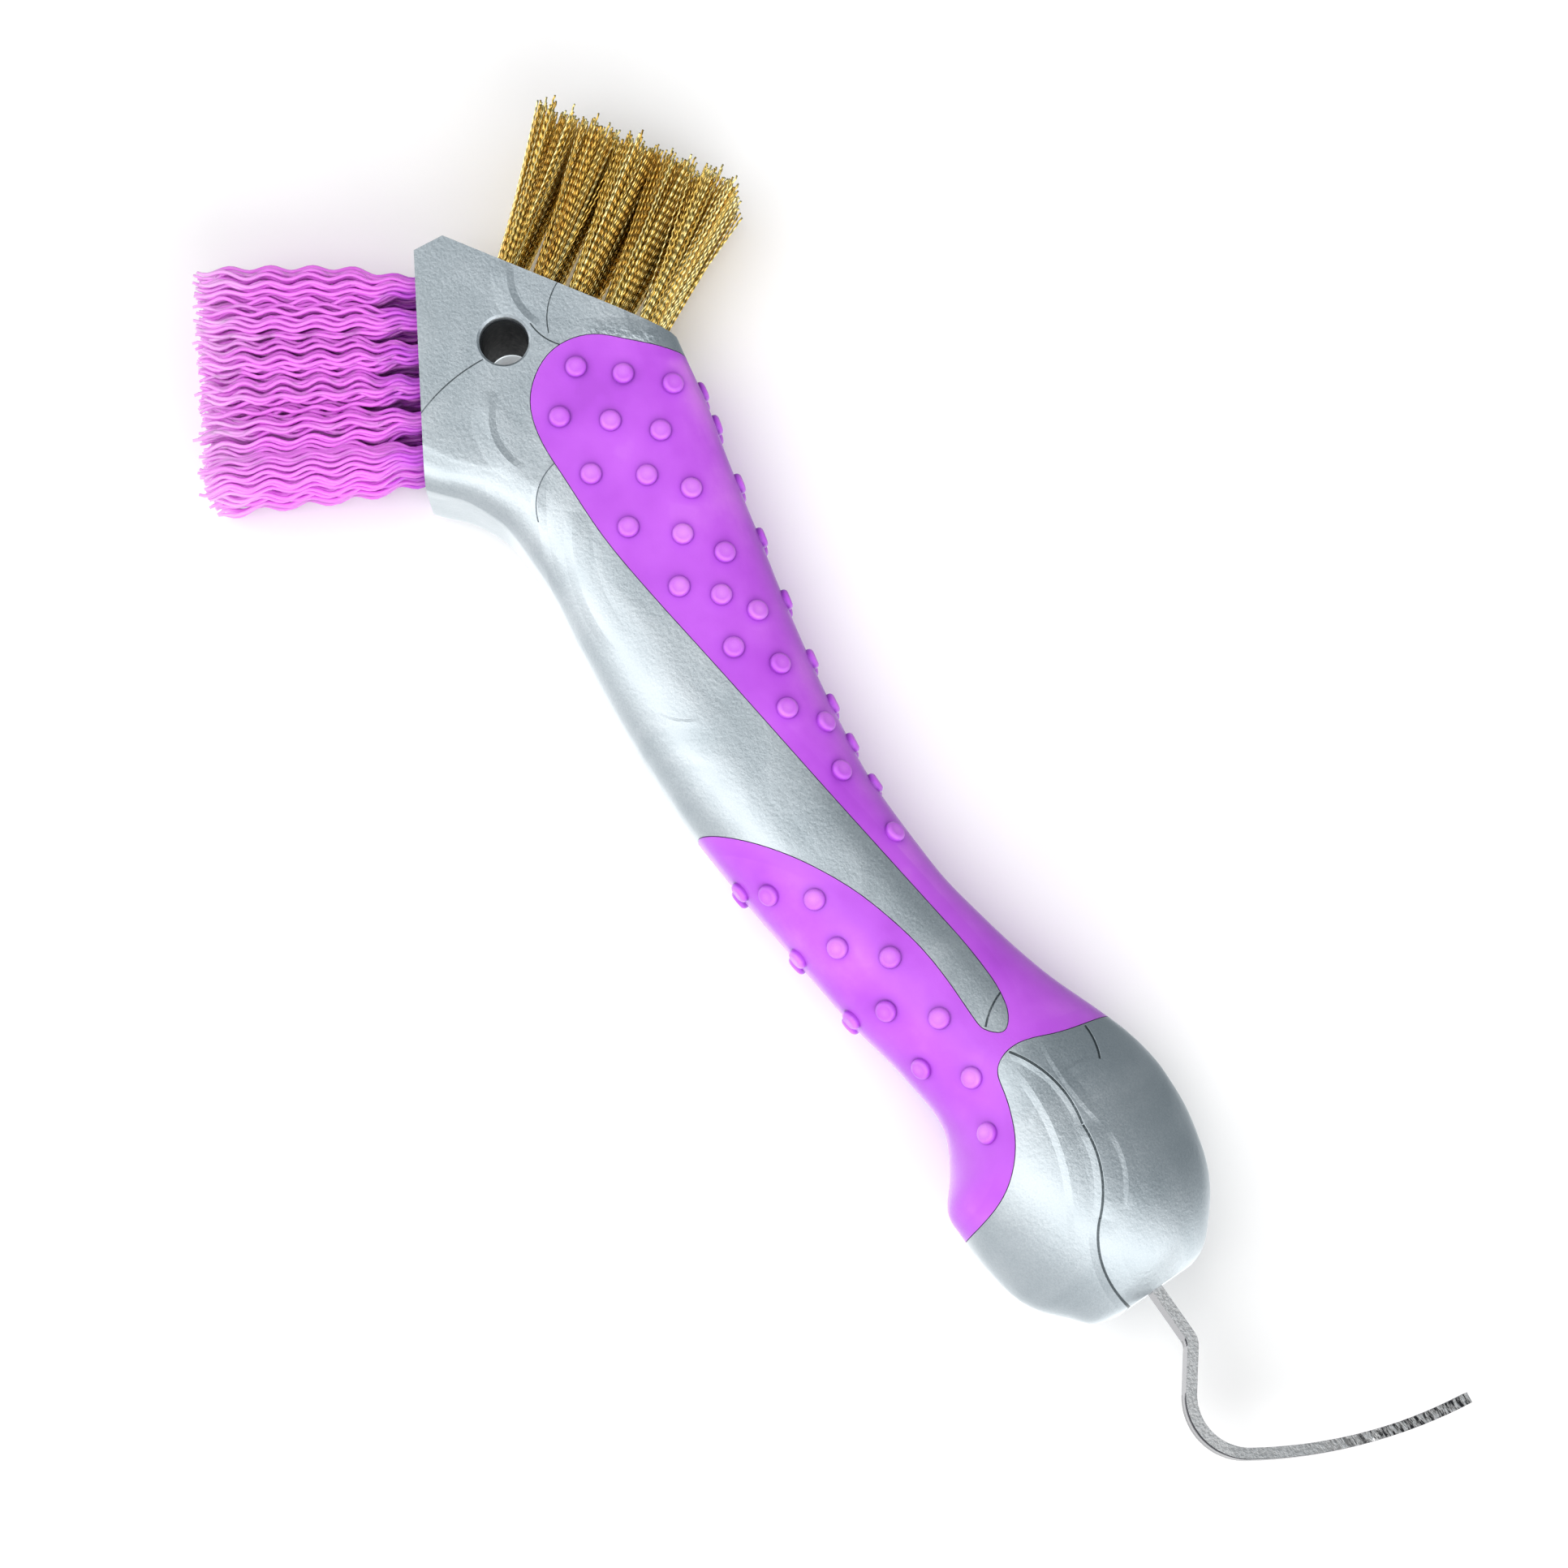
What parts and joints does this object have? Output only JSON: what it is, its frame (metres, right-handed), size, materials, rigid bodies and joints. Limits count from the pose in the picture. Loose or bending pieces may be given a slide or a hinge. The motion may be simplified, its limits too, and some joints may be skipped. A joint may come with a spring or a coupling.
{
  "type": "two-faced cleaning brush with pick",
  "caption": "Hand cleaning brush: soft-grip handle, wedge head with a nylon brush and a brass wire brush, bent steel pick at the other end, hanging hole.",
  "frame": {"origin": "on the axis of the hanging hole, half way through the thickness of the handle", "axes": "+X along the handle from the hole to the pick, +Y towards the brass brush, +Z along the hole's axis, square to the flat sides"},
  "size_m": [0.2424, 0.0899, 0.0294],
  "materials": {
    "core": "moulded black polypropylene",
    "shell": "silver metallic-flake moulded plastic, satin",
    "grip": "soft purple thermoplastic rubber",
    "nylon": "crimped purple nylon filament",
    "brass": "crimped bright brass wire",
    "steel": "bright plated steel strip with sheared edges",
    "staple": "drawn flat wire"
  },
  "bodies": {
    "root": {"brass_staples": "staple", "brass_tuft_1_1": "brass", "brass_tuft_1_2": "brass", "brass_tuft_1_3": "brass", "brass_tuft_1_4": "brass", "brass_tuft_1_5": "brass", "brass_tuft_2_1": "brass", "brass_tuft_2_2": "brass", "brass_tuft_2_3": "brass", "brass_tuft_2_4": "brass", "brass_tuft_2_5": "brass", "brass_tuft_3_1": "brass", "brass_tuft_3_2": "brass", "brass_tuft_3_3": "brass", "brass_tuft_3_4": "brass", "brass_tuft_3_5": "brass", "grip_sleeve": "grip", "handle_core": "core", "handle_shell": "shell", "hook_pick": "steel", "nylon_staples": "staple", "nylon_tuft_1_1": "nylon", "nylon_tuft_1_2": "nylon", "nylon_tuft_1_3": "nylon", "nylon_tuft_1_4": "nylon", "nylon_tuft_1_5": "nylon", "nylon_tuft_1_6": "nylon", "nylon_tuft_2_1": "nylon", "nylon_tuft_2_2": "nylon", "nylon_tuft_2_3": "nylon", "nylon_tuft_2_4": "nylon", "nylon_tuft_2_5": "nylon", "nylon_tuft_2_6": "nylon", "nylon_tuft_3_1": "nylon", "nylon_tuft_3_2": "nylon", "nylon_tuft_3_3": "nylon", "nylon_tuft_3_4": "nylon", "nylon_tuft_3_5": "nylon", "nylon_tuft_3_6": "nylon"}
  },
  "joints": []
}
